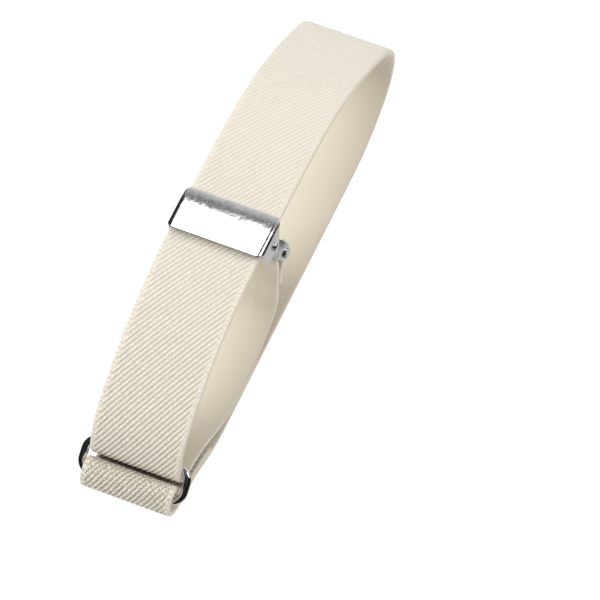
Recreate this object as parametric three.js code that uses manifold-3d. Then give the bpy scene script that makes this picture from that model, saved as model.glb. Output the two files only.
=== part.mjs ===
// Shirt sleeve holder: one loop of ribbed elastic, an oval wire ring at one end, and a hinged adjuster clasp
// on the upper run. The loop lies on its lower run. Units are millimetres, +X runs from the ring to the far
// fold, Y runs across the strap and Z is up.
import * as THREE from 'three';
import { mergeVertices } from 'three/addons/utils/BufferGeometryUtils.js';
import Module from 'manifold-3d';

const wasm = await Module();
wasm.setup();

// Elastic strap
const STRAP_WIDTH = 25;
const STRAP_THICKNESS = 1.5;
const STEPS_PER_SPAN = 5;
const STRAIGHT_LIMIT = 1e-7;

// Oval ring, bent from round wire. Its lean is the tilt of its plane from upright.
const WIRE_RADIUS = 1.05;
const RING_HALF_WIDTH = 14.05;
const RING_HALF_HEIGHT = 4.4;
const RING_CORNER_RADIUS = 3.2;
const RING_CENTRE = { x: -68.25, z: 15.35 };
const RING_LEAN = THREE.MathUtils.degToRad(49.7);
const WIRE_SIDES = 10;
const RING_STEPS = 32;

// Clasp cover, pressed from sheet: a plate with rounded corners and an ear bent down at each side
const COVER_LENGTH = 14;
const COVER_CENTRE_X = -10.1;
const COVER_TOP_Z = 49.6;
const COVER_HALF_WIDTH = 13.3;
const COVER_SHEET = 0.5;
const COVER_CORNER_RADIUS = 2;
const COVER_BEND_RADIUS = 1.5;
const COVER_FLAT_END = 1.1;
const COVER_CURVE_PULL = 4.6;
const COVER_FAR_DROP = 1;
const EAR_DEPTH = 9.6;
const EAR_FAR_X = 4.9;
const EAR_TIP_X = -1.7;
const EAR_ROUNDING = 1.4;

// Clasp jaw, a toothed lever that hangs from the pin
const PIVOT = { x: -8.1, z: 42.5 };
const JAW_ANGLE = THREE.MathUtils.degToRad(-61);
const ARM_INNER = 11.85;
const ARM_SHEET = 0.55;
const ARM_HALF_HEIGHT = 2.4;
const ARM_END_CENTRE = 13;
const ARM_JOGGLE = { start: 4.8, end: 7.2, outward: 0.95 };
const BAR_DISTANCE = 13.5;
const BAR_RADIUS = 1.1;
const BAR_HALF_LENGTH = 14;
const BAR_HEAD_RADIUS = 1.7;
const LEVER_START = 1.2;
const LEVER_END = 8.6;
const TOOTH_COUNT = 12;
const TOOTH_DEPTH = 0.7;
const TOOTH_TIP = 2.2;
const JOIN = 0.1;

// Pin
const PIN_RADIUS = 0.75;
const PIN_GAP = 0.3;
const PIN_HEAD_RADIUS = 1.5;
const PIN_HEAD_INNER = 13.6;
const PIN_HEAD_OUTER = 14.05;
const PIN_HEAD_EDGE = 0.15;
const PIN_HEAD_CHAMFER = 0.4;

// Facets of round shapes, and how far a cutting body reaches past what it cuts
const ROUND_SIDES = 16;
const BEND_STEPS = 4;
const CURVE_STEPS = 8;
const CUT_MARGIN = 2;
const WELD_DISTANCE = 1e-3;

// Middle line of the strap, seen from the side. Columns: x, z. The strap follows a cubic B-spline of these
// points, so it is straight wherever four of them are in line.
const STRAP_ROUTE = {
  tailSewnOnLowerRun: [[-48.5, 4.2], [-52, 5.4], [-56, 6.9], [-60, 8.1], [-64, 8.9]],
  foldRoundLowerBar: [
    [-66.9, 10.0], [-68.1, 12.8], [-69.1, 15.8], [-71.8, 16.9], [-74.1, 15.0], [-74.7, 11.8],
    [-73.5, 8.9],
  ],
  riseFromTable: [
    [-70.5, 7.1], [-67, 6.5], [-63.5, 6.45], [-60, 6.0], [-56, 4.8], [-52, 3.35], [-48.1, 1.95],
    [-44.4, 1.05],
  ],
  lowerRun: [
    [-40.6, 0.75], [-36, 0.75], [-28.6, 0.75], [-9, 0.75], [11, 0.75], [31, 0.75], [41, 0.75], [47, 0.75],
  ],
  farFold: [
    [53, 1.2], [58.5, 2.6], [63.8, 4.6], [68.6, 7.2], [72.6, 10.8], [74.7, 15.4], [74.3, 20.2],
    [71.6, 24.5], [67.4, 28.2],
  ],
  upperRun: [
    [62.5, 31.2], [57, 34.6], [50, 38.4], [42, 42], [33, 44.7], [23, 46.3], [12, 46.9], [1, 47], [-5, 47],
    [-11, 47], [-17, 47], [-23, 46.6], [-29.5, 45.6], [-36, 44], [-42.5, 41.9], [-48.5, 39.1],
    [-54.5, 35.8], [-59.5, 32.4],
  ],
  foldRoundUpperBar: [
    [-63.6, 29], [-66, 25.2], [-67.3, 21.4], [-67.9, 17.7], [-66.3, 14.6], [-63.2, 13.4],
  ],
  returnLayer: [
    [-59, 12.9], [-54, 11.4], [-49, 9.1], [-44.4, 6.4], [-39.7, 4.1], [-35.1, 2.9], [-30.4, 2.6],
    [-24.9, 2.6], [-19.5, 2.9], [-15, 4.1], [-10.8, 6.1],
  ],
  hangingEnd: [[-7.2, 8.2], [-4.9, 10.6], [-4.1, 13.8], [-4.4, 17.6], [-3.9, 21.7], [-3.6, 25.9]],
  foldRoundJawBar: [[-4.4, 29.9], [-3.7, 32.7], [-1.6, 34.1], [0.5, 32.8], [1.1, 29.9]],
  endSewnBack: [[0.2, 26.3], [-1.7, 22.6], [-2.3, 19.4], [-2.3, 16.9]],
};

const CHROME = { color: 0xc9cccf, roughness: 0.12, metalness: 1 };
const BRIGHT_STEEL = { color: 0xb4b5b3, roughness: 0.3, metalness: 1 };
const CREAM_ELASTIC = { color: 0xefe8d8, roughness: 0.85, metalness: 0 };

// A point of a cubic B-spline. Each span blends four neighbouring points with the basis weights at t.
function splinePoint(points, span, t) {
  const weights = [
    (1 - t) ** 3 / 6,
    (3 * t ** 3 - 6 * t ** 2 + 4) / 6,
    (-3 * t ** 3 + 3 * t ** 2 + 3 * t + 1) / 6,
    t ** 3 / 6,
  ];
  const place = new THREE.Vector2();
  weights.forEach((weight, i) => place.addScaledVector(points[span + i], weight));
  return place;
}

// Samples the route, and leaves out the samples that lie on a straight line between their neighbours.
function sampleRoute(route) {
  const table = Object.values(route).flat().map(([x, z]) => new THREE.Vector2(x, z));
  const beforeStart = table[0].clone().multiplyScalar(2).sub(table[1]);
  const afterEnd = table.at(-1).clone().multiplyScalar(2).sub(table.at(-2));
  const points = [beforeStart, ...table, afterEnd];
  const samples = [];
  for (let span = 0; span < points.length - 3; span++) {
    for (let step = 0; step < STEPS_PER_SPAN; step++) {
      samples.push(splinePoint(points, span, step / STEPS_PER_SPAN));
    }
  }
  samples.push(splinePoint(points, points.length - 4, 1));
  const bends = (point, i) => {
    if (i === 0 || i === samples.length - 1) return true;
    const ahead = samples[i + 1].clone().sub(point);
    return Math.abs(point.clone().sub(samples[i - 1]).cross(ahead)) > STRAIGHT_LIMIT;
  };
  return samples.filter(bends);
}

// Extrudes an outline by the given depth along its own normal.
function extrude(outline, depth) {
  const shape = Array.isArray(outline) ? new THREE.Shape(outline) : outline;
  return new THREE.ExtrudeGeometry(shape, { depth, bevelEnabled: false, curveSegments: CURVE_STEPS });
}

// Extrudes an outline of side-view points (x, z) across the strap, from y0 to y1.
function extrudeAcross(outline, y0, y1) {
  return extrude(outline, y1 - y0).rotateX(Math.PI / 2).translate(0, y1, 0);
}

// Extrudes an outline of front-view points (y, z) along the strap, from x0 to x1.
function extrudeAlong(outline, x0, x1) {
  return extrude(outline, x1 - x0).rotateX(Math.PI / 2).rotateZ(Math.PI / 2).translate(x0, 0, 0);
}

// Extrudes an outline of top-view points (x, y) upwards, from z0 to z1.
function extrudeUp(outline, z0, z1) {
  return extrude(outline, z1 - z0).translate(0, 0, z0);
}

// A round bar across the strap, centred on (x, y, z).
function crossRod(radius, halfLength, x, y, z) {
  return new THREE.CylinderGeometry(radius, radius, 2 * halfLength, ROUND_SIDES).translate(x, y, z);
}

// The geometry's vertices joined at their shared edges.
function weld(geometry) {
  geometry.deleteAttribute('normal');
  geometry.deleteAttribute('uv');
  return mergeVertices(geometry, WELD_DISTANCE);
}

function toSolid(geometry) {
  const welded = weld(geometry);
  const mesh = new wasm.Mesh({
    numProp: 3,
    vertProperties: new Float32Array(welded.attributes.position.array),
    triVerts: new Uint32Array(welded.index.array),
  });
  return new wasm.Manifold(mesh);
}

function toGeometry(solid) {
  const mesh = solid.getMesh();
  const geometry = new THREE.BufferGeometry();
  geometry.setAttribute('position', new THREE.BufferAttribute(mesh.vertProperties, 3));
  geometry.setIndex(new THREE.BufferAttribute(mesh.triVerts, 1));
  geometry.computeVertexNormals();
  return geometry;
}

function piece(name, geometry, finish) {
  const mesh = new THREE.Mesh(geometry, new THREE.MeshStandardMaterial(finish));
  mesh.name = name;
  return mesh;
}

// The strap is its middle line given a thickness to both sides.
function elasticBand() {
  const middle = sampleRoute(STRAP_ROUTE);
  const sides = { outer: [], inner: [] };
  middle.forEach((point, i) => {
    const before = middle[Math.max(i - 1, 0)];
    const after = middle[Math.min(i + 1, middle.length - 1)];
    const toPoint = point.clone().sub(before).normalize();
    const fromPoint = after.clone().sub(point).normalize();
    const direction = toPoint.add(fromPoint).normalize();
    const across = new THREE.Vector2(-direction.y, direction.x).multiplyScalar(STRAP_THICKNESS / 2);
    sides.outer.push(point.clone().sub(across));
    sides.inner.push(point.clone().add(across));
  });
  const outline = [...sides.outer, ...sides.inner.reverse()];
  return piece('elastic_band', extrudeAcross(outline, -STRAP_WIDTH / 2, STRAP_WIDTH / 2), CREAM_ELASTIC);
}

// A small torus is pulled apart along both of its axes, which leaves straight bars and round corners.
function ovalRing() {
  const torus = new THREE.TorusGeometry(RING_CORNER_RADIUS, WIRE_RADIUS, WIRE_SIDES, RING_STEPS);
  torus.rotateZ(Math.PI / RING_STEPS);
  const place = torus.attributes.position;
  for (let i = 0; i < place.count; i++) {
    place.setX(i, place.getX(i) + Math.sign(place.getX(i)) * (RING_HALF_HEIGHT - RING_CORNER_RADIUS));
    place.setY(i, place.getY(i) + Math.sign(place.getY(i)) * (RING_HALF_WIDTH - RING_CORNER_RADIUS));
  }
  const ring = weld(torus);
  ring.computeVertexNormals();
  const mesh = piece('oval_ring', ring, CHROME);
  mesh.position.set(RING_CENTRE.x, 0, RING_CENTRE.z);
  mesh.rotation.y = -(Math.PI / 2 - RING_LEAN);
  return mesh;
}

// Front view of the cover, drawn in by inset: a flat top, two rounded bends and two upright sides.
function coverSection(inset) {
  const rim = COVER_HALF_WIDTH - inset;
  const radius = COVER_BEND_RADIUS - inset;
  const half = [];
  for (let step = 0; step <= BEND_STEPS; step++) {
    const angle = (Math.PI / 2) * (1 - step / BEND_STEPS);
    half.push([rim - radius + radius * Math.cos(angle), -inset - radius + radius * Math.sin(angle)]);
  }
  half.push([rim, -EAR_DEPTH - CUT_MARGIN]);
  const right = half.map(([y, z]) => new THREE.Vector2(y, z));
  const left = half.map(([y, z]) => new THREE.Vector2(-y, z)).reverse();
  return [...right, ...left];
}

// Side view of the cover: flat at the ring's side, curved down at the far side, with a round-ended ear below.
function coverSide() {
  const end = COVER_LENGTH / 2;
  const shape = new THREE.Shape();
  shape.moveTo(-end, 0);
  shape.lineTo(COVER_FLAT_END, 0);
  shape.quadraticCurveTo(COVER_CURVE_PULL, 0, end, -COVER_FAR_DROP);
  shape.lineTo(end, -COVER_FAR_DROP - COVER_SHEET);
  shape.lineTo(EAR_FAR_X, -COVER_FAR_DROP - 2 * COVER_SHEET);
  shape.lineTo(EAR_FAR_X, -EAR_DEPTH + EAR_ROUNDING);
  shape.quadraticCurveTo(EAR_FAR_X, -EAR_DEPTH, EAR_FAR_X - EAR_ROUNDING, -EAR_DEPTH);
  shape.lineTo(EAR_TIP_X, -EAR_DEPTH);
  const tipSide = EAR_TIP_X - EAR_ROUNDING;
  shape.quadraticCurveTo(tipSide, -EAR_DEPTH, tipSide, -EAR_DEPTH + EAR_ROUNDING);
  shape.lineTo(-end, -COVER_BEND_RADIUS);
  return shape;
}

// Side view of the hollow under the cover, open at both ends.
function coverHollowSide() {
  const end = COVER_LENGTH / 2;
  const beyond = end + CUT_MARGIN;
  const shape = new THREE.Shape();
  shape.moveTo(-beyond, -COVER_SHEET);
  shape.lineTo(COVER_FLAT_END, -COVER_SHEET);
  shape.quadraticCurveTo(COVER_CURVE_PULL, -COVER_SHEET, end, -COVER_SHEET - COVER_FAR_DROP);
  shape.lineTo(beyond, -COVER_SHEET - 2 * COVER_FAR_DROP);
  shape.lineTo(beyond, -EAR_DEPTH - CUT_MARGIN);
  shape.lineTo(-beyond, -EAR_DEPTH - CUT_MARGIN);
  return shape;
}

// Top view of the cover: a rectangle with rounded corners.
function coverPlan() {
  const x = COVER_LENGTH / 2;
  const y = COVER_HALF_WIDTH;
  const radius = COVER_CORNER_RADIUS;
  const shape = new THREE.Shape();
  shape.moveTo(-x, -y + radius);
  shape.absarc(-x + radius, -y + radius, radius, Math.PI, 1.5 * Math.PI, false);
  shape.absarc(x - radius, -y + radius, radius, -Math.PI / 2, 0, false);
  shape.absarc(x - radius, y - radius, radius, 0, Math.PI / 2, false);
  shape.absarc(-x + radius, y - radius, radius, Math.PI / 2, Math.PI, false);
  return shape;
}

// The cover's own origin is at the middle of its top face.
function claspCover() {
  const reach = COVER_LENGTH;
  const halfWidth = COVER_HALF_WIDTH + CUT_MARGIN;
  const outside = toSolid(extrudeAlong(coverSection(0), -reach, reach))
    .intersect(toSolid(extrudeAcross(coverSide(), -halfWidth, halfWidth)))
    .intersect(toSolid(extrudeUp(coverPlan(), -EAR_DEPTH - CUT_MARGIN, CUT_MARGIN)));
  const hollow = toSolid(extrudeAlong(coverSection(COVER_SHEET), -reach, reach))
    .intersect(toSolid(extrudeAcross(coverHollowSide(), -halfWidth, halfWidth)));
  const pinX = PIVOT.x - COVER_CENTRE_X;
  const pinZ = PIVOT.z - COVER_TOP_Z;
  const pinHole = toSolid(crossRod(PIN_RADIUS + PIN_GAP, halfWidth, pinX, 0, pinZ));
  const mesh = piece('clasp_cover', toGeometry(outside.subtract(hollow).subtract(pinHole)), CHROME);
  mesh.position.set(COVER_CENTRE_X, 0, COVER_TOP_Z);
  return mesh;
}

// Side view of one arm of the jaw: a long plate with round ends, from behind the pin to past the bar.
function armSide() {
  const shape = new THREE.Shape();
  shape.absarc(0, 0, ARM_HALF_HEIGHT, Math.PI / 2, 1.5 * Math.PI, false);
  shape.absarc(ARM_END_CENTRE, 0, ARM_HALF_HEIGHT, -Math.PI / 2, Math.PI / 2, false);
  return shape;
}

// Top view of one arm: inside the ear at the pin, then stepped outwards past the strap's edge.
function armPlan(side) {
  const inner = [
    [-ARM_HALF_HEIGHT - CUT_MARGIN, ARM_INNER],
    [ARM_JOGGLE.start, ARM_INNER],
    [ARM_JOGGLE.end, ARM_INNER + ARM_JOGGLE.outward],
    [ARM_END_CENTRE + ARM_HALF_HEIGHT + CUT_MARGIN, ARM_INNER + ARM_JOGGLE.outward],
  ];
  const outer = inner.map(([x, y]) => [x, y + ARM_SHEET]).reverse();
  return [...inner, ...outer].map(([x, y]) => new THREE.Vector2(x, side * y));
}

// Front view of the toothed flange: a straight strip whose free lower edge is cut into triangular teeth.
function toothedEdge() {
  const half = ARM_INNER + JOIN;
  const pitch = (2 * half) / TOOTH_COUNT;
  const outline = [new THREE.Vector2(half, ARM_HALF_HEIGHT), new THREE.Vector2(-half, ARM_HALF_HEIGHT)];
  for (let tooth = 0; tooth < TOOTH_COUNT; tooth++) {
    const left = -half + tooth * pitch;
    outline.push(new THREE.Vector2(left, TOOTH_DEPTH - TOOTH_TIP));
    outline.push(new THREE.Vector2(left + pitch / 2, -TOOTH_TIP));
  }
  outline.push(new THREE.Vector2(half, TOOTH_DEPTH - TOOTH_TIP));
  return outline;
}

// The jaw's own x runs along the lever from the pin to the bar, and the teeth point along its own -z.
function claspJaw() {
  const half = ARM_INNER + JOIN;
  const plate = [
    new THREE.Vector2(LEVER_START, ARM_HALF_HEIGHT - ARM_SHEET),
    new THREE.Vector2(LEVER_END, ARM_HALF_HEIGHT - ARM_SHEET),
    new THREE.Vector2(LEVER_END, ARM_HALF_HEIGHT),
    new THREE.Vector2(LEVER_START, ARM_HALF_HEIGHT),
  ];
  const armOuter = ARM_INNER + ARM_JOGGLE.outward + ARM_SHEET;
  const headInner = armOuter - JOIN;
  const headHalf = (BAR_HALF_LENGTH - headInner) / 2;
  const zReach = ARM_HALF_HEIGHT + CUT_MARGIN;
  const parts = [
    toSolid(extrudeAcross(plate, -half, half)),
    toSolid(extrudeAlong(toothedEdge(), LEVER_START, LEVER_START + ARM_SHEET)),
    toSolid(crossRod(BAR_RADIUS, headInner, BAR_DISTANCE, 0, 0)),
  ];
  for (const side of [-1, 1]) {
    const arm = toSolid(extrudeAcross(armSide(), -BAR_HALF_LENGTH, BAR_HALF_LENGTH))
      .intersect(toSolid(extrudeUp(armPlan(side), -zReach, zReach)));
    const headCentre = side * (headInner + headHalf);
    parts.push(arm, toSolid(crossRod(BAR_HEAD_RADIUS, headHalf, BAR_DISTANCE, headCentre, 0)));
  }
  const pinHole = toSolid(crossRod(PIN_RADIUS + PIN_GAP, BAR_HALF_LENGTH, 0, 0, 0));
  const jaw = parts.reduce((body, next) => body.add(next)).subtract(pinHole);
  const mesh = piece('clasp_jaw', toGeometry(jaw), BRIGHT_STEEL);
  mesh.position.set(PIVOT.x, 0, PIVOT.z);
  mesh.rotation.y = -JAW_ANGLE;
  return mesh;
}

// A plain rod with a low head at each end.
function claspPin() {
  const half = [
    [PIN_RADIUS, PIN_HEAD_INNER],
    [PIN_HEAD_RADIUS, PIN_HEAD_INNER],
    [PIN_HEAD_RADIUS, PIN_HEAD_INNER + PIN_HEAD_EDGE],
    [PIN_HEAD_RADIUS - PIN_HEAD_CHAMFER, PIN_HEAD_OUTER],
    [0, PIN_HEAD_OUTER],
  ];
  const upper = half.map(([radius, y]) => new THREE.Vector2(radius, y));
  const lower = half.map(([radius, y]) => new THREE.Vector2(radius, -y)).reverse();
  const rod = new THREE.LatheGeometry([...lower, ...upper], ROUND_SIDES);
  const mesh = piece('clasp_pin', rod, BRIGHT_STEEL);
  mesh.position.set(PIVOT.x, 0, PIVOT.z);
  return mesh;
}

const holder = new THREE.Group();
holder.add(elasticBand(), ovalRing(), claspCover(), claspJaw(), claspPin());

export default holder;
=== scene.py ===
"""Shirt sleeve holder: a ribbed elastic loop with a chrome clasp and a wire ring, dressed over the
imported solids."""

import bmesh
import bpy
import math
import mathutils
import numpy as np
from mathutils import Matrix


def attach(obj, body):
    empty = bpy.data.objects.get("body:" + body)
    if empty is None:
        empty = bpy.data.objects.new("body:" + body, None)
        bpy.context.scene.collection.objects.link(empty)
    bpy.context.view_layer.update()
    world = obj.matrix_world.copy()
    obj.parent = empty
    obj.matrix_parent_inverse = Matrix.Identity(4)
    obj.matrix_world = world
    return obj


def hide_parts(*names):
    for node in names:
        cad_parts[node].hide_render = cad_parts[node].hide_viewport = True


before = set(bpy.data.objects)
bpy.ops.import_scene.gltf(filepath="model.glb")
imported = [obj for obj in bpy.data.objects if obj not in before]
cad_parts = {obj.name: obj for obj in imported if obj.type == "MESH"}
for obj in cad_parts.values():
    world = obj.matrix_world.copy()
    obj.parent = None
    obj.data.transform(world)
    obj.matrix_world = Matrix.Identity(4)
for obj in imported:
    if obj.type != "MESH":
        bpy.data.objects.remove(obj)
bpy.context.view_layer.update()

MM = 0.001

# Elastic strap, in millimetres
STRAP_HALF = 12.5
STRAP_THICK = 1.5
EDGE_ROUND = 0.45
EDGE_TURN = np.radians([60, 25, -25, -60])
SELVEDGE = 1.4
SELVEDGE_DIP = 0.12
RIBS_FADE_FROM = STRAP_HALF - 1.15 * SELVEDGE
RIBS_FADE_TO = STRAP_HALF - 0.6 * SELVEDGE
YARN_FADES_TO = STRAP_HALF - 0.75 * SELVEDGE
LOOP_ENDS = (-75.2, 75.2)
RIB_DEPTH = (0.4, 0.14)
RIB_ROUNDNESS = 0.8
RIB_PITCH_ALONG = 2.09
RIB_PITCH_ACROSS = 1.33
ROWS_PER_RIB = 6
RIBBED_COLUMNS = 40
INNER_COLUMNS = 9
PRESSED_END = 1.2

# Look of the elastic, in millimetres. Uneven is how far the yarn's noise shifts a pattern: beads by so many
# beads, and loops by so many radians.
FUZZ_PER_MM = 2.6
YARN_PER_MM = 0.9
PATCH_PER_MM = 0.14
BEAD_LENGTH = 0.62
BEAD_STAGGER = 0.5
BEAD_UNEVEN = 3.2
# Shares of painted shade between the yarn beads and of painted highlight on them.
BEAD_GAP_SHADE = -0.5
BEAD_HIGHLIGHT_SHARE = 0.55
GROOVE_SHARE = 0.9
LOOP_PITCH = 1.3
LOOP_UNEVEN = 9.0
LOOP_SHADE = 0.7
BEAD_HEIGHT = 0.05
LOOP_HEIGHT = 0.05
INNER_LINE_HEIGHT = 0.01
FUZZ_HEIGHT = 0.06
CORD = ("#e3ddd1", "#e4dccd")
# Painted shade in the rib grooves, and painted highlight on the yarn beads.
PAINTED_GROOVE_SHADE = "#978c70"
PAINTED_BEAD_HIGHLIGHT = "#f1ece1"
# Selvedge yarn, and the painted shade between its loops.
SELVEDGE_YARN_AND_SHADE = ("#e0d8cb", "#b3ab9a")
INNER_FACE = "#dfd7c6"
# Painted shade for the creases inside the folds round the ring.
PAINTED_CREASE_SHADE = "#50473a"

# How loose the yarn is at the two ends of the loop, from 0 to 1: it sets the strength of the painted groove,
# bead and loop shade, the painted bead highlights and the yarn's relief. The sewn tail adds to it: place
# where that starts to fade, where it has gone, and how much. Each stretch of painted crease shade inside the
# folds round
# the ring: where it starts, is full, starts to fade and ends. Places are lengths along the strap.
SLACK = (0.75, 0.12)
UNSTRETCHED_TAB = (32, 60, 0.5)
CREASE_SHADE_STRETCHES = ((13, 15, 16.3, 20.5), (360, 362, 370, 376))

# Stitches, in millimetres. Clear is a thread's height above the cloth at its holes, and below 0 it dips in.
STITCH_ROWS = (2.6, 5.2)
STITCH_MARGIN = 2.6
STITCHES_PER_ROW = 8
STITCH_LENGTH = 2.1
STITCH_RISE = 0.16
STITCH_SPAN = (0.04, 0.96)
STITCH_STEPS = 9
STITCH_SIDES = 6
THREAD_RADIUS = 0.17
THREAD_TWIST_PER_MM = 1.25
THREAD_TWIST_HEIGHT = 0.05
THREAD = ("#d2cabb", "#e6e0d3")
TAIL_STITCH_CLEAR = -0.1
END_STITCH_CLEAR = -0.03

# Middle line of the strap, seen from the side: x and z of the points of a uniform cubic B-spline.
STEPS_PER_SPAN = 200
STRAP_ROUTE = {
    "tail_sewn_on_lower_run": [(-48.5, 4.2), (-52, 5.4), (-56, 6.9), (-60, 8.1), (-64, 8.9)],
    "fold_round_lower_bar": [
        (-66.9, 10.0), (-68.1, 12.8), (-69.1, 15.8), (-71.8, 16.9), (-74.1, 15.0), (-74.7, 11.8),
        (-73.5, 8.9),
    ],
    "rise_from_table": [
        (-70.5, 7.1), (-67, 6.5), (-63.5, 6.45), (-60, 6.0), (-56, 4.8), (-52, 3.35), (-48.1, 1.95),
        (-44.4, 1.05),
    ],
    "lower_run": [
        (-40.6, 0.75), (-36, 0.75), (-28.6, 0.75), (-9, 0.75), (11, 0.75), (31, 0.75), (41, 0.75),
        (47, 0.75),
    ],
    "far_fold": [
        (53, 1.2), (58.5, 2.6), (63.8, 4.6), (68.6, 7.2), (72.6, 10.8), (74.7, 15.4), (74.3, 20.2),
        (71.6, 24.5), (67.4, 28.2),
    ],
    "upper_run": [
        (62.5, 31.2), (57, 34.6), (50, 38.4), (42, 42), (33, 44.7), (23, 46.3), (12, 46.9), (1, 47),
        (-5, 47), (-11, 47), (-17, 47), (-23, 46.6), (-29.5, 45.6), (-36, 44), (-42.5, 41.9),
        (-48.5, 39.1), (-54.5, 35.8), (-59.5, 32.4),
    ],
    "fold_round_upper_bar": [
        (-63.6, 29), (-66, 25.2), (-67.3, 21.4), (-67.9, 17.7), (-66.3, 14.6), (-63.2, 13.4),
    ],
    "return_layer": [
        (-59, 12.9), (-54, 11.4), (-49, 9.1), (-44.4, 6.4), (-39.7, 4.1), (-35.1, 2.9), (-30.4, 2.6),
        (-24.9, 2.6), (-19.5, 2.9), (-15, 4.1), (-10.8, 6.1),
    ],
    "hanging_end": [(-7.2, 8.2), (-4.9, 10.6), (-4.1, 13.8), (-4.4, 17.6), (-3.9, 21.7), (-3.6, 25.9)],
    "fold_round_jaw_bar": [(-4.4, 29.9), (-3.7, 32.7), (-1.6, 34.1), (0.5, 32.8), (1.1, 29.9)],
    "end_sewn_back": [(0.2, 26.3), (-1.7, 22.6), (-2.3, 19.4), (-2.3, 16.9)],
}

# Oval ring
RING_CENTRE = (-68.25, 15.35)
RING_LEAN = math.radians(49.7)
RING_HALF_WIDTH = 14.05
RING_HALF_HEIGHT = 4.4
RING_CORNER = 3.2
RING_CORNER_STEPS = 13
WIRE_RADIUS = 1.05
TURNED_SIDES = 28

# Clasp cover
COVER_CENTRE = (-10.1, 49.6)
COVER_HALF_LENGTH = 7.0
COVER_HALF_WIDTH = 13.3
COVER_SHEET = 0.5
COVER_BEND = 1.5
COVER_CORNER = 2.0
COVER_FLAT_END = 1.1
COVER_CURVE_PULL = 4.6
COVER_FAR_DROP = 1.0
EAR_DEPTH = 9.6
EAR_FAR = 4.9
EAR_NEAR_SHIFT = 3.9
EAR_ROUNDING = 1.4
EAR_TIP_START = 0.08
EAR_TIP_STEPS = 9
EAR_STEPS = 14
BEND_STEPS = 17
PLATE_STEPS = 60
SHEET_STEPS = 25
SHEET_EDGE_STEPS = 7

# Clasp pin
PIVOT = (-8.1, 42.5)
PIN_RADIUS = 0.75
PIN_HEAD_RADIUS = 1.5
PIN_HEAD_INNER = 13.6
PIN_HEAD_OUTER = 14.05
PIN_HEAD_FLAT = 0.12
PIN_DOME_STEPS = 8

# Jaw's edges
JAW_WELD = 0.002
JAW_FLAT = math.radians(1)
JAW_EDGE = math.radians(35)
JAW_EDGE_ROUND = 0.22
JAW_EDGE_STEPS = 3

# Plating. Columns: name, tint, least and greatest roughness, height of the waves in millimetres. Marks are
# hairlines in it: a range of noise gives the roughness, and their height is a share of the waves'.
PLATINGS = (
    ("chrome_plated_sheet", "#d6d6d5", 0.14, 0.26, 0.1),
    ("chrome_plated_wire", "#dcdcdb", 0.03, 0.08, 0.01),
    ("bright_zinc_steel", "#c4c6c8", 0.16, 0.32, 0.02),
)
WAVES_PER_MM = 0.48
MARKS_PER_MM = (0.3, 4.0, 0.3)
MARK_RANGE = (0.3, 0.7)
MARK_HEIGHT = 0.05

# Camera, worked out for a picture of 600 by 600 pixels
VIEW_AZIMUTH = 293
VIEW_ELEVATION = 57
VIEW_DISTANCE = 1600
PIXELS_PER_MM = 3.86
PICTURE_SIDE = 600
SENSOR = 36
CLIP = (0.05, 20)
AIM = (0, 0, 22)
AIM_PIXEL = (240.5, 249.8)

# Light. The walls are what metal mirrors: grey by the upward part of the direction, from straight down to
# straight up. The near wall gives way to the far one between two values of the direction's x.
DOME = 0.36
NEAR_WALL = ((-1, 0.6), (-0.75, 0.55), (-0.5, 0.02), (0.5, 0.01), (0.8, 0.06), (1, 0.2))
FAR_WALL = ((-1, 0.6), (-0.35, 0.75), (0.15, 0.72), (0.4, 0.6), (0.62, 0.3), (0.78, 0.1), (1, 0.04))
NEAR_TO_FAR = (0.55, 0.85)
FLOOR_GLOW = 0.9
FLOOR_HALF = 3000
FLOOR_GREY = ("#707070", "#747474")
FLOOR_MOTTLE_PER_MM = 0.006

# Soft lights. Columns: name, direction, distance and size in metres, watts, seen in metal.
SOFTBOXES = (
    ("softbox_far", (0.33, 0.21, 0.92), 1.5, (1.0, 0.7), 5.5, True),
    ("softbox_right", (0.345, -0.768, 0.538), 1.4, (0.6, 0.6), 4.6, True),
    ("softbox_left", (-0.35, 0.5, 0.79), 1.5, (0.8, 0.8), 17, False),
)


def linear(hex_colour):
    """An sRGB hex colour as linear RGBA: the low end is divided by 12.92, the rest follows a 2.4 power."""
    srgb = np.array([int(hex_colour[i:i + 2], 16) for i in (1, 3, 5)]) / 255
    rgb = np.where(srgb <= 0.04045, srgb / 12.92, ((srgb + 0.055) / 1.055) ** 2.4)
    return (*rgb.tolist(), 1.0)


def add(tree, kind, links=(), **settings):
    """Adds one node. Settings are its own properties, and links are pairs of an input and what it takes: a
    value, an output, or a node, which gives its first live output."""
    node = tree.nodes.new(kind)
    for name, value in settings.items():
        setattr(node, name, value)
    for key, value in links:
        if isinstance(value, bpy.types.Node):
            value = next(output for output in value.outputs if output.enabled)
        if isinstance(value, bpy.types.NodeSocket):
            tree.links.new(value, node.inputs[key])
        else:
            node.inputs[key].default_value = value
    return node


def new_material(name):
    material = bpy.data.materials.new(name)
    material.use_nodes = True
    material.node_tree.nodes.clear()
    return material, material.node_tree


def finish_material(tree, shader):
    add(tree, "ShaderNodeOutputMaterial", [("Surface", shader.outputs[0])])


def make_object(name, points, faces, smooth=True):
    """A mesh object at the origin from an array of points in millimetres and an array of faces."""
    mesh = bpy.data.meshes.new(name)
    mesh.from_pydata((np.asarray(points).reshape(-1, 3) * MM).tolist(), [], faces)
    mesh.validate()
    mesh.shade_smooth() if smooth else mesh.shade_flat()
    obj = bpy.data.objects.new(name, mesh)
    bpy.context.scene.collection.objects.link(obj)
    return obj


def grid_faces(rows, columns, wrap_rows=False, wrap_columns=False):
    """Quads between neighbours of a rows by columns grid of points, closed along a wrapped direction."""
    index = np.arange(rows * columns).reshape(rows, columns)
    if wrap_rows:
        index = np.vstack([index, index[:1]])
    if wrap_columns:
        index = np.hstack([index, index[:, :1]])
    corners = (index[:-1, :-1], index[1:, :-1], index[1:, 1:], index[:-1, 1:])
    return np.stack(corners, axis=-1).reshape(-1, 4)


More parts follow.
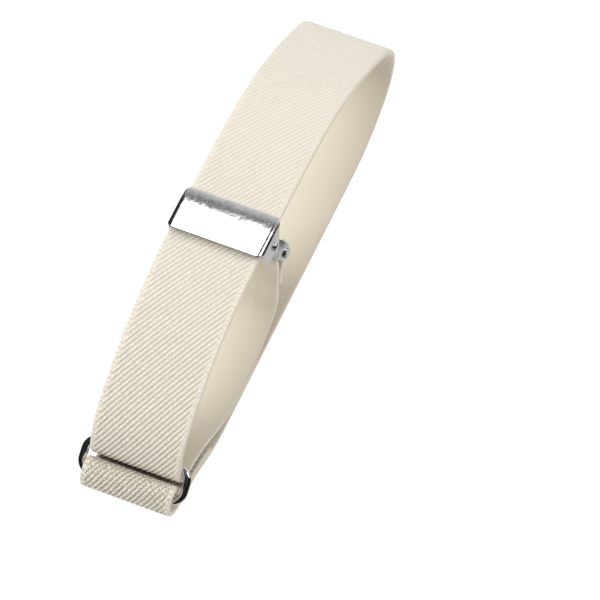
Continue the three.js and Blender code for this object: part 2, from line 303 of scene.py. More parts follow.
def dense_route():
    """The strap's middle line: each span blends four table points by the cubic B-spline weights, and every
    place on it is then known by its length from the strap's start."""
    table = np.array([row for rows in STRAP_ROUTE.values() for row in rows], float)
    table = np.vstack([2 * table[0] - table[1], table, 2 * table[-1] - table[-2]])
    t = np.linspace(0, 1, STEPS_PER_SPAN, endpoint=False)[:, None]
    weights = np.hstack([
        (1 - t) ** 3, 3 * t ** 3 - 6 * t ** 2 + 4, -3 * t ** 3 + 3 * t ** 2 + 3 * t + 1, t ** 3]) / 6
    spans = np.stack([table[i:len(table) - 3 + i] for i in range(4)], axis=1)
    line = np.einsum("tk,skc->stc", weights, spans).reshape(-1, 2)
    length = np.concatenate([[0], np.cumsum(np.hypot(*np.diff(line, axis=0).T))])
    heading = np.gradient(line, axis=0)
    heading /= np.hypot(*heading.T)[:, None]
    outward = np.stack([heading[:, 1], -heading[:, 0]], axis=1)
    return length, line, outward


ROUTE_LENGTH, ROUTE_LINE, ROUTE_OUTWARD = dense_route()
STRAP_LENGTH = float(ROUTE_LENGTH[-1])


def on_strap(s, y, height):
    """The point at length s along the strap, y across it and height out from its middle line to the ribs."""
    s, y, height = np.broadcast_arrays(s, y, height)
    x, z = (np.interp(s, ROUTE_LENGTH, ROUTE_LINE[:, i])
            + height * np.interp(s, ROUTE_LENGTH, ROUTE_OUTWARD[:, i]) for i in (0, 1))
    return np.stack([x, y, z], axis=-1)


def smooth_step(value, low, high):
    """0 below low, 1 above high, and a smooth S-curve between them."""
    t = np.clip((value - low) / (high - low), 0, 1)
    return t * t * (3 - 2 * t)


def strap_section():
    """The strap's section as a closed loop of (y, height, rib share): the ribbed face, a rounded edge, the
    plain inner face and the other rounded edge. Each edge is half an ellipse, and the ribs fade out at the
    selvedges by a smooth step."""
    ribbed = np.linspace(-(STRAP_HALF - SELVEDGE), STRAP_HALF - SELVEDGE, RIBBED_COLUMNS)
    border = np.array([STRAP_HALF - EDGE_ROUND, RIBS_FADE_TO])
    face_y = np.concatenate([-border, ribbed, border[::-1]])
    into_selvedge = smooth_step(np.abs(face_y), RIBS_FADE_FROM, RIBS_FADE_TO)
    face_height = STRAP_THICK / 2 - SELVEDGE_DIP * into_selvedge
    edge_top = STRAP_THICK / 2 - SELVEDGE_DIP
    middle, half = (edge_top - STRAP_THICK / 2) / 2, (edge_top + STRAP_THICK / 2) / 2
    edge_y = STRAP_HALF - EDGE_ROUND + EDGE_ROUND * np.cos(EDGE_TURN)
    edge_height = middle + half * np.sin(EDGE_TURN)
    inner_y = np.linspace(STRAP_HALF - EDGE_ROUND, -(STRAP_HALF - EDGE_ROUND), INNER_COLUMNS)
    y = np.concatenate([face_y, edge_y, inner_y, -edge_y[::-1]])
    inner_height = np.full(INNER_COLUMNS, -STRAP_THICK / 2)
    height = np.concatenate([face_height, edge_height, inner_height, edge_height[::-1]])
    share = np.concatenate([1 - into_selvedge, np.zeros(len(y) - len(face_y))])
    return y, height, share


def woven_band():
    """The whole strap in one skin. Rows of points lean along the ribs: a row's place along the strap is its
    start plus y times the along pitch over the across pitch, so a rib stays between the same rows. Its
    height is a power of half a sine over each pitch, and the grooves get shallower by a straight line in x,
    because the elastic is stretched most at the far fold. Points past an end are gathered on that end, and
    the section closes it."""
    y, height, share = strap_section()
    lean = RIB_PITCH_ALONG / RIB_PITCH_ACROSS
    step = RIB_PITCH_ALONG / ROWS_PER_RIB
    starts = np.arange(-STRAP_HALF * lean - step, STRAP_LENGTH + STRAP_HALF * lean + 2 * step, step)
    rows, columns = len(starts), len(y)
    s = np.clip(starts[:, None] + lean * y[None, :], 0, STRAP_LENGTH)
    hump = np.abs(np.sin(np.pi * starts[:, None] / RIB_PITCH_ALONG)) ** RIB_ROUNDNESS
    near_end = smooth_step(np.minimum(s, STRAP_LENGTH - s), 0, PRESSED_END)
    depth = np.interp(np.interp(s, ROUTE_LENGTH, ROUTE_LINE[:, 0]), LOOP_ENDS, RIB_DEPTH)
    sunk = depth * share[None, :] * (1 - hump * near_end)
    points = on_strap(s, y[None, :], height[None, :] - sunk)

    index = np.arange(rows * columns).reshape(rows, columns)
    first = rows * columns + np.arange(columns)
    last = first + columns
    index = np.where(s <= 0, first[None, :], np.where(s >= STRAP_LENGTH, last[None, :], index))
    pressed = height - RIB_DEPTH[0] * share
    ends = np.stack([on_strap(0.0, y, pressed), on_strap(STRAP_LENGTH, y, pressed)])
    points = np.concatenate([points.reshape(-1, 3), ends.reshape(-1, 3)])

    around = np.hypot(np.diff(y, append=y[0]), np.diff(height, append=height[0]))
    girth = np.concatenate([[0], np.cumsum(around)])
    wide = np.hstack([index, index[:, :1]])
    u = np.hstack([s, s[:, :1]]) / STRAP_LENGTH
    v = np.broadcast_to(girth[None, :] / girth[-1], wide.shape)
    corner = np.stack([wide, u, v], axis=-1)
    a, b, c, d = corner[:-1, :-1], corner[1:, :-1], corner[1:, 1:], corner[:-1, 1:]
    halves = [np.stack(half, axis=2).reshape(-1, 3, 3) for half in ((a, c, b), (a, d, c))]
    triangles = np.concatenate(halves)
    ids = triangles[:, :, 0].astype(int)
    real = (ids[:, 0] != ids[:, 1]) & (ids[:, 1] != ids[:, 2]) & (ids[:, 2] != ids[:, 0])
    triangles, ids = triangles[real], ids[real]
    used = np.unique(np.concatenate([ids.ravel(), first, last]))
    renumber = np.full(len(points), -1)
    renumber[used] = np.arange(len(used))
    caps = [renumber[first][::-1].tolist(), renumber[last].tolist()]

    mesh = bpy.data.meshes.new("elastic_strap")
    mesh.from_pydata((points[used] * MM).tolist(), [], renumber[ids].tolist() + caps)
    layer = mesh.uv_layers.new(name="strap")
    cap_u = np.concatenate([np.zeros(columns), np.ones(columns)])
    cap_v = np.concatenate([girth[:-1][::-1], girth[:-1]]) / girth[-1]
    face_uv = triangles[:, :, 1:].reshape(-1, 2)
    layer.data.foreach_set("uv", np.concatenate([face_uv, np.stack([cap_u, cap_v], axis=1)]).ravel())
    mesh.shade_smooth()
    band = bpy.data.objects.new("elastic_strap", mesh)
    bpy.context.scene.collection.objects.link(band)
    return band, float(girth[-1])


def wire_ring():
    """A round wire along a rounded rectangle: four straight stretches and four quarter turns, in the plane
    that leans with the ring. Around the wire, the radius turns between the ring's own outward direction and
    its normal."""
    turn = np.linspace(0, np.pi / 2, RING_CORNER_STEPS)
    reach_y, reach_h = RING_HALF_WIDTH - RING_CORNER, RING_HALF_HEIGHT - RING_CORNER
    corners = np.arange(4)[:, None] * np.pi / 2 + turn[None, :]
    sign_y = np.array([1, -1, -1, 1])[:, None]
    sign_h = np.array([1, 1, -1, -1])[:, None]
    out_y, out_h = np.cos(corners).ravel(), np.sin(corners).ravel()
    path_y = (sign_y * reach_y + RING_CORNER * np.cos(corners)).ravel()
    path_h = (sign_h * reach_h + RING_CORNER * np.sin(corners)).ravel()
    across = np.array([math.sin(RING_LEAN), 0, math.cos(RING_LEAN)])
    normal = np.array([math.cos(RING_LEAN), 0, -math.sin(RING_LEAN)])
    centre = np.array([RING_CENTRE[0], 0, RING_CENTRE[1]])
    path = centre + path_y[:, None] * np.array([0, 1, 0]) + path_h[:, None] * across
    outward = out_y[:, None] * np.array([0, 1, 0]) + out_h[:, None] * across
    around = np.linspace(0, 2 * np.pi, TURNED_SIDES, endpoint=False)[None, :, None]
    points = path[:, None] + WIRE_RADIUS * (np.cos(around) * outward[:, None] + np.sin(around) * normal)
    return make_object("ring_wire", points, grid_faces(len(path), TURNED_SIDES, True, True).tolist())


def cover_pressing():
    """A sheet blank bent over the front profile: ear, bend, flat top, bend, ear. At each place of the
    profile the blank runs from a near to a far edge, which round the plate's corners and narrow the ears. The
    far part of the plate curves down along the solid's own curve: its place past the flat part is twice the
    reach times t, less the bow times t squared. Its drop goes with t squared, and fades out down the
    ears."""
    tip_turn = np.linspace(EAR_TIP_START, 1, EAR_TIP_STEPS) * np.pi / 2
    fall = np.concatenate([EAR_DEPTH - EAR_ROUNDING * (1 - np.cos(tip_turn)),
                           np.linspace(EAR_DEPTH - EAR_ROUNDING, COVER_BEND, EAR_STEPS)[1:-1]])
    bend = np.linspace(0, np.pi / 2, BEND_STEPS)
    flat = np.linspace(COVER_HALF_WIDTH - COVER_BEND, -(COVER_HALF_WIDTH - COVER_BEND), PLATE_STEPS)[1:-1]
    half_y = np.concatenate([np.full(len(fall), COVER_HALF_WIDTH),
                             COVER_HALF_WIDTH - COVER_BEND * (1 - np.cos(bend))])
    half_d = np.concatenate([fall, COVER_BEND * (1 - np.sin(bend))])
    half_ny = np.concatenate([np.ones(len(fall)), np.cos(bend)])
    half_nz = np.concatenate([np.zeros(len(fall)), np.sin(bend)])
    y = np.concatenate([half_y, flat, -half_y[::-1]])
    d = np.concatenate([half_d, np.zeros(len(flat)), half_d[::-1]])
    ny = np.concatenate([half_ny, np.zeros(len(flat)), -half_ny[::-1]])
    nz = np.concatenate([half_nz, np.ones(len(flat)), half_nz[::-1]])

    past = np.clip(np.abs(y) - (COVER_HALF_WIDTH - COVER_CORNER), 0, COVER_CORNER)
    corner = COVER_CORNER - np.sqrt(COVER_CORNER ** 2 - past ** 2)
    low = np.clip(d - (EAR_DEPTH - EAR_ROUNDING), 0, EAR_ROUNDING)
    tip = EAR_ROUNDING - np.sqrt(np.maximum(EAR_ROUNDING ** 2 - low ** 2, 0))
    taper = EAR_NEAR_SHIFT * np.clip((d - COVER_BEND) / (EAR_DEPTH - EAR_ROUNDING - COVER_BEND), 0, 1)
    near = -COVER_HALF_LENGTH + np.maximum(corner, taper) + tip
    far = np.minimum(COVER_HALF_LENGTH - corner, np.where(d > COVER_BEND, EAR_FAR, COVER_HALF_LENGTH)) - tip

    radius = COVER_SHEET / 2
    turn = np.linspace(-np.pi / 2, np.pi / 2, SHEET_EDGE_STEPS)[1:-1]
    over = np.linspace(0, 1, SHEET_STEPS)
    from_edges = np.linspace(-1, 1, SHEET_STEPS) * -radius
    share = np.concatenate([over, np.ones(len(turn)), over[::-1], np.zeros(len(turn))])
    inset = np.concatenate([from_edges, (np.cos(turn) - 1) * radius,
                            from_edges[::-1], (1 - np.cos(turn)) * radius])
    sink = np.concatenate([np.zeros(SHEET_STEPS), radius * (1 + np.sin(turn)),
                           np.full(SHEET_STEPS, COVER_SHEET), radius * (1 - np.sin(turn))])
    x = near[:, None] + share[None, :] * (far - near)[:, None] + inset[None, :]
    past_flat = np.clip(x - COVER_FLAT_END, 0, None)
    reach = COVER_CURVE_PULL - COVER_FLAT_END
    bow = 2 * reach - (COVER_HALF_LENGTH - COVER_FLAT_END)
    t = (reach - np.sqrt(reach ** 2 - bow * past_flat)) / bow
    drop = COVER_FAR_DROP * t ** 2
    fade = 1 - np.clip((d - COVER_BEND) / (EAR_DEPTH - COVER_BEND), 0, 1)
    points = np.stack([
        COVER_CENTRE[0] + x,
        y[:, None] - ny[:, None] * sink[None, :],
        COVER_CENTRE[1] - d[:, None] - nz[:, None] * sink[None, :] - drop * fade[:, None],
    ], axis=-1)
    faces = grid_faces(len(y), len(share), False, True).tolist()
    ring = np.arange(len(share))
    faces += [ring.tolist(), (ring[::-1] + (len(y) - 1) * len(share)).tolist()]
    return make_object("cover_pressing", points, faces)


def pin_rivet():
    """A turned rod: its profile of radius against y has a domed head at each end, and goes once round the
    axis. Each dome is a quarter ellipse."""
    dome = np.linspace(0, np.pi / 2, PIN_DOME_STEPS)[1:-1]
    dome_y = PIN_HEAD_INNER + (PIN_HEAD_OUTER - PIN_HEAD_INNER) * np.sin(dome)
    half = np.concatenate([
        [[PIN_RADIUS, PIN_HEAD_INNER], [PIN_HEAD_RADIUS, PIN_HEAD_INNER]],
        np.stack([PIN_HEAD_RADIUS * np.cos(dome), dome_y], axis=1),
        [[PIN_HEAD_FLAT, PIN_HEAD_OUTER]],
    ])
    profile = np.concatenate([half[::-1] * [1, -1], half])
    around = np.linspace(0, 2 * np.pi, TURNED_SIDES, endpoint=False)[None, :]
    points = np.stack([
        PIVOT[0] + profile[:, :1] * np.cos(around),
        np.broadcast_to(profile[:, 1:], (len(profile), TURNED_SIDES)),
        PIVOT[1] + profile[:, :1] * np.sin(around),
    ], axis=-1)
    faces = grid_faces(len(profile), TURNED_SIDES, False, True).tolist()
    ring = np.arange(TURNED_SIDES)
    faces += [ring.tolist(), (ring[::-1] + (len(profile) - 1) * TURNED_SIDES).tolist()]
    return make_object("pin_rivet", points, faces)


def jaw_pressing():
    """The jaw's solid, joined at its shared edges and with its sheet edges rounded over."""
    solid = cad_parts["clasp_jaw"]
    mesh = solid.data.copy()
    mesh.name = "jaw_pressing"
    work = bmesh.new()
    work.from_mesh(mesh)
    bmesh.ops.remove_doubles(work, verts=work.verts, dist=JAW_WELD * MM)
    bmesh.ops.dissolve_limit(work, angle_limit=JAW_FLAT, verts=work.verts, edges=work.edges)
    work.to_mesh(mesh)
    work.free()
    mesh.shade_smooth()
    jaw = bpy.data.objects.new("jaw_pressing", mesh)
    bpy.context.scene.collection.objects.link(jaw)
    bevel = jaw.modifiers.new("rounded_edges", "BEVEL")
    bevel.width = JAW_EDGE_ROUND * MM
    bevel.segments = JAW_EDGE_STEPS
    bevel.limit_method = "ANGLE"
    bevel.angle_limit = JAW_EDGE
    bevel.harden_normals = True
    return jaw


def thread_stitches(name, s_rows, side, clear):
    """Short threads lying across the strap, in rows at the lengths s_rows. Each one is a low arch from hole
    to hole: its middle line is a half sine above the cloth, and its round section narrows to the holes as
    the square root of a half sine. Side is 1 on the ribbed face and -1 on the inner one."""
    centres = np.linspace(-STRAP_HALF + STITCH_MARGIN, STRAP_HALF - STITCH_MARGIN, STITCHES_PER_ROW)
    rows, middles = np.meshgrid(np.asarray(s_rows, float), centres, indexing="ij")
    t = np.linspace(*STITCH_SPAN, STITCH_STEPS)
    arch = np.sin(np.pi * t)
    angle = np.linspace(0, 2 * np.pi, STITCH_SIDES, endpoint=False)
    thick = THREAD_RADIUS * np.sqrt(arch)
    s = rows.ravel()[:, None, None] + thick[None, :, None] * np.cos(angle)[None, None, :]
    y = middles.ravel()[:, None, None] + (t[None, :, None] - 0.5) * STITCH_LENGTH
    height = (STRAP_THICK / 2 + clear + STITCH_RISE * arch[None, :, None]
              + thick[None, :, None] * np.sin(angle)[None, None, :])
    points = on_strap(s, y, side * height)
    turned = slice(None, None, -side)
    section = np.arange(STITCH_SIDES)
    one = grid_faces(STITCH_STEPS, STITCH_SIDES, False, True)[:, turned]
    ends = np.array([section, section[::-1] + (STITCH_STEPS - 1) * STITCH_SIDES])[:, turned]
    offsets = np.arange(rows.size)[:, None, None] * STITCH_STEPS * STITCH_SIDES
    faces = (one[None] + offsets).reshape(-1, 4).tolist()
    faces += (ends[None] + offsets).reshape(-1, STITCH_SIDES).tolist()
    return make_object(name, points, faces)


def elastic_material(girth):
    """Woven cotton and rubber elastic: matt, soft at grazing light, with diagonal ribs like twisted cord.
    Painted shade in the grooves and between the yarn beads, and painted highlights on the beads, show most
    near the ring, where the elastic is slack. The selvedges are plain, with painted shade between their small
    loops, and the inner face is smooth with faint lines across. Painted shade darkens the cloth inside the
    two folds round the ring. The UV map gives the share of the strap's length and of its girth."""
    material, tree = new_material("woven_cotton_elastic")
    uv = add(tree, "ShaderNodeSeparateXYZ", [(0, add(tree, "ShaderNodeUVMap", uv_map="strap"))])
    s = add(tree, "ShaderNodeMath", [(0, uv.outputs[0]), (1, STRAP_LENGTH)], operation="MULTIPLY")
    round_strap = add(tree, "ShaderNodeMath", [(0, uv.outputs[1]), (1, girth)], operation="MULTIPLY")
    y = add(tree, "ShaderNodeMath", [(0, round_strap), (1, STRAP_HALF - EDGE_ROUND)], operation="SUBTRACT")
    off_centre = add(tree, "ShaderNodeMath", [(0, y)], operation="ABSOLUTE")
    ribbed = add(tree, "ShaderNodeMapRange", [
        ("Value", off_centre), ("From Min", RIBS_FADE_FROM), ("From Max", YARN_FADES_TO), ("To Min", 1.0),
        ("To Max", 0.0)], interpolation_type="SMOOTHSTEP")
    plain = add(tree, "ShaderNodeMath", [(0, 1.0), (1, ribbed)], operation="SUBTRACT")
    inner = add(tree, "ShaderNodeMath", [(0, round_strap), (1, 2 * STRAP_HALF)], operation="GREATER_THAN")
    outer = add(tree, "ShaderNodeMath", [(0, 1.0), (1, inner)], operation="SUBTRACT")

    where = add(tree, "ShaderNodeTexCoord").outputs["Object"]
    slack = add(tree, "ShaderNodeMapRange", [
        ("Value", add(tree, "ShaderNodeSeparateXYZ", [(0, where)])), ("From Min", LOOP_ENDS[0] * MM),
        ("From Max", LOOP_ENDS[1] * MM), ("To Min", SLACK[0]), ("To Max", SLACK[1])])
    tab = add(tree, "ShaderNodeMapRange", [
        ("Value", s), ("From Min", UNSTRETCHED_TAB[0]), ("From Max", UNSTRETCHED_TAB[1]),
        ("To Min", UNSTRETCHED_TAB[2]), ("To Max", 0.0)], interpolation_type="SMOOTHSTEP")
    slack = add(tree, "ShaderNodeMath", [(0, slack), (1, tab)], operation="ADD")
    fuzz, yarn, patch = (
        add(tree, "ShaderNodeTexNoise", [("Vector", where), ("Scale", per_mm / MM), ("Detail", detail)])
        for per_mm, detail in ((FUZZ_PER_MM, 3.0), (YARN_PER_MM, 1.0), (PATCH_PER_MM, 2.0)))

    # Rib phase: one turn for each rib pitch, the same as in the mesh.
    across = add(tree, "ShaderNodeMath", [(0, y), (1, -1 / RIB_PITCH_ACROSS)], operation="MULTIPLY")
    phase = add(tree, "ShaderNodeMath", [(0, s), (1, 1 / RIB_PITCH_ALONG), (2, across)],
                operation="MULTIPLY_ADD")
    wave = add(tree, "ShaderNodeMath", [(0, phase), (1, math.pi)], operation="MULTIPLY")
    wave = add(tree, "ShaderNodeMath", [(0, wave)], operation="SINE")
    hump = add(tree, "ShaderNodeMath", [(0, wave)], operation="ABSOLUTE")
    # Painted shade: the groove colour is mixed in between the ribs, where shade falls.
    groove = add(tree, "ShaderNodeMapRange", [
        ("Value", hump), ("From Max", GROOVE_SHARE), ("To Min", 1.0), ("To Max", 0.0)],
        interpolation_type="SMOOTHSTEP")
    groove = add(tree, "ShaderNodeMath", [(0, groove), (1, ribbed)], operation="MULTIPLY")

    # Beads of yarn down each rib, staggered from rib to rib and made uneven by the yarn's own noise. They
    # give the yarn relief, and also painted highlights on the beads and painted shade between them.
    bead_reach = math.hypot(RIB_PITCH_ALONG, RIB_PITCH_ACROSS) * BEAD_LENGTH
    along_y = add(tree, "ShaderNodeMath", [(0, y), (1, RIB_PITCH_ACROSS / bead_reach)], operation="MULTIPLY")
    along = add(tree, "ShaderNodeMath", [(0, s), (1, RIB_PITCH_ALONG / bead_reach), (2, along_y)],
                operation="MULTIPLY_ADD")
    rib_number = add(tree, "ShaderNodeMath", [(0, phase)], operation="FLOOR")
    along = add(tree, "ShaderNodeMath", [(0, rib_number), (1, BEAD_STAGGER), (2, along)],
                operation="MULTIPLY_ADD")
    along = add(tree, "ShaderNodeMath", [(0, yarn), (1, BEAD_UNEVEN), (2, along)], operation="MULTIPLY_ADD")
    bead = add(tree, "ShaderNodeMath", [(0, along), (1, 2 * math.pi)], operation="MULTIPLY")
    bead = add(tree, "ShaderNodeMath", [(0, bead)], operation="SINE")
    bead = add(tree, "ShaderNodeMath", [(0, bead), (1, ribbed)], operation="MULTIPLY")
    bead = add(tree, "ShaderNodeMath", [(0, bead), (1, slack)], operation="MULTIPLY")

    # Small loops of yarn along the selvedges, and fainter lines across the inner face. On the selvedges the
    # loops are also painted: over half of each loop the yarn is mixed to a darker grey, as painted shade.
    uneven = add(tree, "ShaderNodeMath", [(0, yarn), (1, LOOP_UNEVEN)], operation="MULTIPLY")
    loop = add(tree, "ShaderNodeMath", [(0, s), (1, 2 * math.pi / LOOP_PITCH), (2, uneven)],
               operation="MULTIPLY_ADD")
    loop = add(tree, "ShaderNodeMath", [(0, loop)], operation="SINE")
    loop = add(tree, "ShaderNodeMath", [(0, loop), (1, plain)], operation="MULTIPLY")
    inner_line = add(tree, "ShaderNodeMath", [(0, loop), (1, inner)], operation="MULTIPLY")
    edge_loop = add(tree, "ShaderNodeMath", [(0, loop), (1, outer)], operation="MULTIPLY")
    edge_loop = add(tree, "ShaderNodeMath", [(0, edge_loop), (1, slack)], operation="MULTIPLY")

    # Painted crease shade: the cloth is painted dark inside the two folds round the ring, where shade falls.
    crease_shade = 0.0
    for start, full, fading, end in CREASE_SHADE_STRETCHES:
        rise = add(tree, "ShaderNodeMapRange", [("Value", s), ("From Min", start), ("From Max", full)],
                   interpolation_type="SMOOTHSTEP")
        fall = add(tree, "ShaderNodeMapRange", [
            ("Value", s), ("From Min", fading), ("From Max", end), ("To Min", 1.0), ("To Max", 0.0)],
            interpolation_type="SMOOTHSTEP")
        stretch = add(tree, "ShaderNodeMath", [(0, rise), (1, fall)], operation="MULTIPLY")
        crease_shade = add(tree, "ShaderNodeMath", [(0, crease_shade), (1, stretch)], operation="MAXIMUM")
    inboard = add(tree, "ShaderNodeMapRange", [
        ("Value", off_centre), ("From Min", STRAP_HALF - SELVEDGE), ("From Max", STRAP_HALF),
        ("To Min", 1.0), ("To Max", 0.0)], interpolation_type="SMOOTHSTEP")
    crease_shade = add(tree, "ShaderNodeMath", [(0, crease_shade), (1, inboard)], operation="MULTIPLY")

    # Painted shade in the grooves and between the beads, and painted highlights (bright) on the beads; both
    # are strongest where the yarn is slack.
    bead_gap = add(tree, "ShaderNodeMath", [(0, bead), (1, BEAD_GAP_SHADE)], operation="MULTIPLY")
    shade = add(tree, "ShaderNodeMath", [(0, groove), (1, slack)], operation="MULTIPLY")
    shade = add(tree, "ShaderNodeMath", [(0, shade), (1, bead_gap)], operation="MAXIMUM")
    bright = add(tree, "ShaderNodeMath", [(0, bead), (1, BEAD_HIGHLIGHT_SHARE)], operation="MULTIPLY",
                 use_clamp=True)
    loop_shade = add(tree, "ShaderNodeMath", [(0, edge_loop), (1, LOOP_SHADE)], operation="MULTIPLY",
                     use_clamp=True)
    selvedge = add(tree, "ShaderNodeMix", [
        ("Factor", loop_shade), ("A", linear(SELVEDGE_YARN_AND_SHADE[0])), ("B", linear(SELVEDGE_YARN_AND_SHADE[1]))],
        data_type="RGBA")
    colour = linear(CORD[0])
    # Colour over the cloth's own tones: painted groove and bead shade, painted bead highlights, the selvedge
    # yarn with its painted loop shade, the inner face and painted crease shade.
    for share, over in (
            (patch, linear(CORD[1])), (shade, linear(PAINTED_GROOVE_SHADE)), (bright, linear(PAINTED_BEAD_HIGHLIGHT)),
            (plain, selvedge), (inner, linear(INNER_FACE)), (crease_shade, linear(PAINTED_CREASE_SHADE))):
        colour = add(tree, "ShaderNodeMix", [("Factor", share), ("A", colour), ("B", over)],
                     data_type="RGBA")

    height = 0.0
    for pattern, relief in ((bead, BEAD_HEIGHT), (edge_loop, LOOP_HEIGHT), (inner_line, INNER_LINE_HEIGHT),
                            (fuzz, FUZZ_HEIGHT)):
        height = add(tree, "ShaderNodeMath", [(0, pattern), (1, relief), (2, height)],
                     operation="MULTIPLY_ADD")
    bump = add(tree, "ShaderNodeBump", [("Height", height), ("Strength", 1.0), ("Distance", MM)])
    rough = add(tree, "ShaderNodeMapRange", [("Value", fuzz), ("To Min", 0.78), ("To Max", 0.95)])
    finish_material(tree, add(tree, "ShaderNodeBsdfPrincipled", [
        ("Base Color", colour), ("Roughness", rough), ("Normal", bump), ("Specular IOR Level", 0.25),
        ("Sheen Weight", 0.2), ("Sheen Roughness", 0.5)]))
    return material


def thread_material():
    """Spun polyester sewing thread: cream, a little glossier than the cloth, with a twist of 0.5 mm."""
    material, tree = new_material("spun_polyester_thread")
    where = add(tree, "ShaderNodeTexCoord").outputs["Object"]
    twist = add(tree, "ShaderNodeTexWave", [
        ("Vector", where), ("Scale", THREAD_TWIST_PER_MM / MM), ("Distortion", 2.0)],
        bands_direction="DIAGONAL").outputs["Fac"]
    colour = add(tree, "ShaderNodeMix", [
        ("Factor", twist), ("A", linear(THREAD[0])), ("B", linear(THREAD[1]))], data_type="RGBA")
    bump = add(tree, "ShaderNodeBump", [
        ("Height", twist), ("Strength", 0.5), ("Distance", THREAD_TWIST_HEIGHT * MM)])
    finish_material(tree, add(tree, "ShaderNodeBsdfPrincipled", [
        ("Base Color", colour), ("Roughness", 0.6), ("Normal", bump)]))
    return material


def plated_material(name, tint, low, high, ripple):
    """Plated steel. Rolled sheet and drawn wire keep faint waves of about 2 mm and hairline marks under the
    plating, which the eye sees as small breaks in the reflections."""
    material, tree = new_material(name)
    where = add(tree, "ShaderNodeTexCoord").outputs["Object"]
    wave = add(tree, "ShaderNodeTexNoise", [
        ("Vector", where), ("Scale", WAVES_PER_MM / MM), ("Detail", 2.0)])
    stretch = add(tree, "ShaderNodeMapping", [
        ("Vector", where), ("Scale", [per_mm / MM for per_mm in MARKS_PER_MM])])
    marks = add(tree, "ShaderNodeTexNoise", [("Vector", stretch), ("Scale", 1.0), ("Detail", 4.0)])
    rough = add(tree, "ShaderNodeMapRange", [
        ("Value", marks), ("From Min", MARK_RANGE[0]), ("From Max", MARK_RANGE[1]), ("To Min", low),
        ("To Max", high)])
    height = add(tree, "ShaderNodeMath", [(0, marks), (1, MARK_HEIGHT), (2, wave)],
                 operation="MULTIPLY_ADD")
    bump = add(tree, "ShaderNodeBump", [("Height", height), ("Strength", 1.0), ("Distance", ripple * MM)])
    worn = add(tree, "ShaderNodeMix", [("Factor", wave), ("A", linear(tint)), ("B", linear("#ffffff"))],
               data_type="RGBA")
    finish_material(tree, add(tree, "ShaderNodeBsdfPrincipled", [
        ("Base Color", worn), ("Metallic", 1.0), ("Roughness", rough), ("Normal", bump)]))
    return material


def floor_material():
    """A matt, faintly mottled acrylic sheet on a light table. Its white comes mostly from below, so shadows
    on it are lost."""
    material, tree = new_material("backlit_white_acrylic")
    where = add(tree, "ShaderNodeTexCoord").outputs["Object"]
    mottle = add(tree, "ShaderNodeTexNoise", [
        ("Vector", where), ("Scale", FLOOR_MOTTLE_PER_MM / MM), ("Detail", 2.0)])
    colour = add(tree, "ShaderNodeMix", [
        ("Factor", mottle), ("A", linear(FLOOR_GREY[0])), ("B", linear(FLOOR_GREY[1]))], data_type="RGBA")
    finish_material(tree, add(tree, "ShaderNodeBsdfPrincipled", [
        ("Base Color", colour), ("Roughness", 0.9), ("Specular IOR Level", 0.1),
        ("Emission Color", linear("#ffffff")), ("Emission Strength", FLOOR_GLOW)]))
    return material


def view_axes():
    """The camera's right, up and forward directions for the view's azimuth and elevation, without roll."""
    a, e = math.radians(VIEW_AZIMUTH), math.radians(VIEW_ELEVATION)
    flat = np.array([-math.sin(a), math.cos(a), 0])
    right = np.array([flat[1], -flat[0], 0])
    forward = math.cos(e) * flat - math.sin(e) * np.array([0, 0, 1])
    return right, np.cross(right, forward), forward


def add_camera():
    """A long lens whose scale at the aim point is PIXELS_PER_MM, moved sideways so that the aim point lands
    on AIM_PIXEL."""
    right, up, forward = view_axes()
    slide_right = (PICTURE_SIDE / 2 - AIM_PIXEL[0]) / PIXELS_PER_MM
    slide_down = (PICTURE_SIDE / 2 - AIM_PIXEL[1]) / PIXELS_PER_MM
    place = np.array(AIM) - VIEW_DISTANCE * forward + slide_right * right - slide_down * up
    camera = bpy.data.objects.new("camera", bpy.data.cameras.new("camera"))
    bpy.context.scene.collection.objects.link(camera)
    camera.data.sensor_width = SENSOR
    camera.data.lens = PIXELS_PER_MM * VIEW_DISTANCE * SENSOR / PICTURE_SIDE
    camera.data.clip_start, camera.data.clip_end = CLIP
    turn = np.column_stack([right, up, -forward, place * MM])
    camera.matrix_world = mathutils.Matrix([*turn.tolist(), [0, 0, 0, 1]])
    bpy.context.scene.camera = camera


def add_softbox(name, direction, distance, size, watts, mirrored):
    """A soft light at a distance along a direction, turned to face the object. Metal shows it if mirrored
    is true."""
    direction = np.array(direction, float) / np.linalg.norm(direction)
    side = np.cross([0, 0, 1], direction)
    side = side / np.linalg.norm(side)
    light = bpy.data.lights.new(name, "AREA")
    light.shape = "RECTANGLE"
    light.size, light.size_y = size
    light.energy = watts
    box = bpy.data.objects.new(name, light)
    box.visible_glossy = mirrored
    bpy.context.scene.collection.objects.link(box)
    turn = np.column_stack([side, np.cross(direction, side), direction, direction * distance])
    box.matrix_world = mathutils.Matrix([*turn.tolist(), [0, 0, 0, 1]])


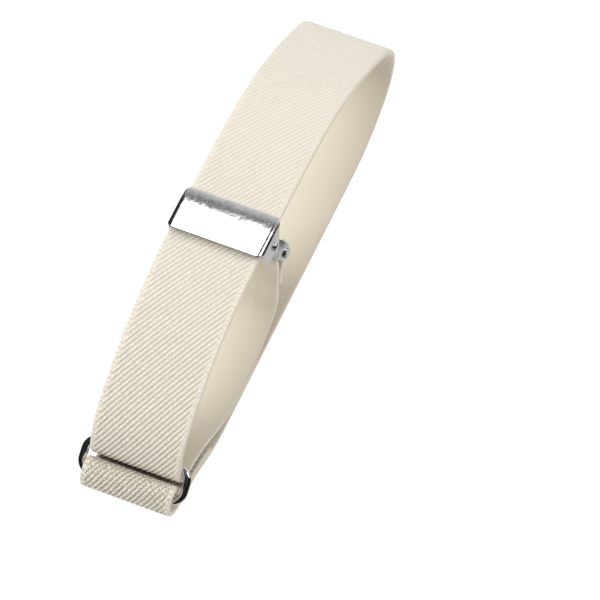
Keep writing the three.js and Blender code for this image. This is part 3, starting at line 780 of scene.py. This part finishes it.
def add_surroundings():
    """A pale dome lights the cloth and floor. Bright metal mirrors another room: nearly black on the near
    side, with a pale ground straight below and a light grey wall on the far side that darkens overhead, so
    that the plate and the wire show their shape."""
    world = bpy.data.worlds.new("studio")
    bpy.context.scene.world = world
    world.use_nodes = True
    tree = world.node_tree
    tree.nodes.clear()
    where = add(tree, "ShaderNodeTexCoord").outputs["Generated"]
    direction = add(tree, "ShaderNodeSeparateXYZ", [(0, where)])
    upward = add(tree, "ShaderNodeMapRange", [
        ("Value", direction.outputs[2]), ("From Min", -1.0), ("From Max", 1.0)])
    walls = []
    for stops in (NEAR_WALL, FAR_WALL):
        wall = add(tree, "ShaderNodeValToRGB", [("Fac", upward)])
        wall.color_ramp.elements[0].position, wall.color_ramp.elements[1].position = 0, 1
        for up, _ in stops[1:-1]:
            wall.color_ramp.elements.new((up + 1) / 2)
        for element, (_, grey) in zip(wall.color_ramp.elements, stops):
            element.color = (grey, grey, grey, 1)
        walls.append(wall)
    to_far = add(tree, "ShaderNodeMapRange", [
        ("Value", direction), ("From Min", NEAR_TO_FAR[0]), ("From Max", NEAR_TO_FAR[1])],
        interpolation_type="SMOOTHSTEP")
    seen = add(tree, "ShaderNodeMix", [("Factor", to_far), ("A", walls[0]), ("B", walls[1])],
               data_type="RGBA")
    room = add(tree, "ShaderNodeBackground", [("Color", seen), ("Strength", 1.0)])
    dome = add(tree, "ShaderNodeBackground", [("Color", (1, 1, 1, 1)), ("Strength", DOME)])
    glossy = add(tree, "ShaderNodeLightPath").outputs["Is Glossy Ray"]
    surface = add(tree, "ShaderNodeMixShader", [(0, glossy), (1, dome), (2, room)])
    add(tree, "ShaderNodeOutputWorld", [(0, surface)])


def add_floor():
    """A flat square under the part. Metal doesn't mirror it."""
    corners = np.array([(-1, -1, 0), (1, -1, 0), (1, 1, 0), (-1, 1, 0)]) * FLOOR_HALF
    floor = make_object("floor", corners, [(0, 1, 2, 3)], smooth=False)
    floor.data.materials.append(floor_material())
    floor.visible_glossy = False


bpy.context.scene.view_settings.view_transform = "Standard"
add_camera()
add_surroundings()
for softbox in SOFTBOXES:
    add_softbox(*softbox)
add_floor()

band, girth = woven_band()
band.data.materials.append(elastic_material(girth))
thread = thread_material()
tail_rows = thread_stitches("tail_stitches", STITCH_ROWS, 1, TAIL_STITCH_CLEAR)
end_rows = thread_stitches("end_stitches", STRAP_LENGTH - np.array(STITCH_ROWS), -1, END_STITCH_CLEAR)
for stitches in (tail_rows, end_rows):
    stitches.data.materials.append(thread)

sheet_chrome, wire_chrome, bright_steel = (plated_material(*plating) for plating in PLATINGS)
ring = wire_ring()
cover = cover_pressing()
pin = pin_rivet()
jaw = jaw_pressing()
for piece, finish in ((ring, wire_chrome), (cover, sheet_chrome), (pin, wire_chrome), (jaw, bright_steel)):
    piece.data.materials.clear()
    piece.data.materials.append(finish)

slots = {band: "elastic", tail_rows: "elastic", end_rows: "elastic", ring: "chrome", cover: "chrome",
         pin: "bright_steel", jaw: "bright_steel"}
stands_for = {band: "elastic_band", ring: "oval_ring", cover: "clasp_cover", jaw: "clasp_jaw",
              pin: "clasp_pin"}
for piece, slot_name in slots.items():
    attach(piece, "root")
for piece, node_name in stands_for.items():
    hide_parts(node_name)
